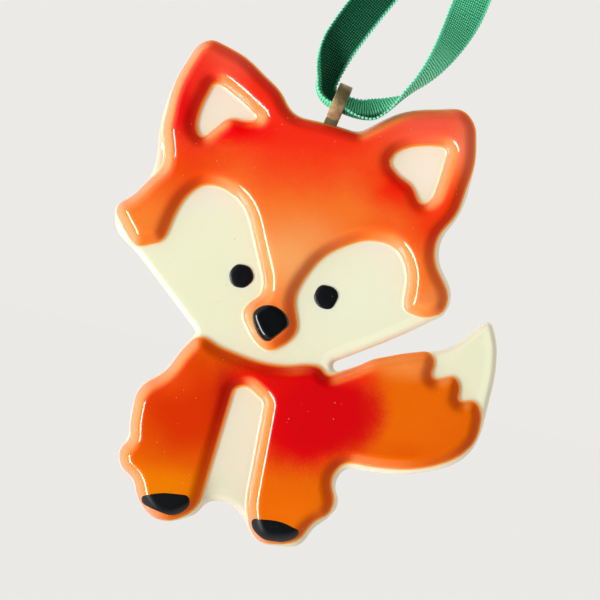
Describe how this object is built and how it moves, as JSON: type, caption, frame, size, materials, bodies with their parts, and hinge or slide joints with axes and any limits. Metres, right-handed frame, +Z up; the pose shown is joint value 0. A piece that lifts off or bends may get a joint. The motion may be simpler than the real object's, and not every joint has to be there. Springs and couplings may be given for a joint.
{
  "type": "hanging fox figure",
  "caption": "Flat fused-glass fox figure with raised ears, mask, body and tail, hung by a metal loop from a knotted satin ribbon.",
  "frame": {"origin": "the hanging point, under the ribbon's knot and straight above the middle of the metal ring", "axes": "+Z up as the figure hangs, the fox faces -Y, its back lies in a plane facing +Y, +X is to the viewer's right"},
  "size_m": [0.0772, 0.0072, 0.186],
  "materials": {
    "cream_glass": "gloss, opaque",
    "head_glass": "gloss, opaque, red fading to orange",
    "body_glass": "gloss, opaque, red fading to orange",
    "black_glass": "gloss, opaque",
    "metal_strip": "dull, worn",
    "ribbon_satin": "satin"
  },
  "bodies": {
    "ribbon": {"ribbon": "ribbon_satin", "ribbon_knot": "ribbon_satin"},
    "ornament": {"base_glass": "cream_glass", "head_overlay": "head_glass", "body_overlay": "body_glass", "nose": "black_glass", "left_eye": "black_glass", "right_eye": "black_glass", "left_toes": "black_glass", "right_toes": "black_glass", "hanging_loop": "metal_strip"}
  },
  "joints": [
    {"name": "ornament_swing", "type": "hinge", "parent": "ribbon", "child": "ornament", "pos_m": [0, 0, -0.079], "axis": [0.9863, 0, -0.165], "range_deg": [-45, 45]}
  ]
}
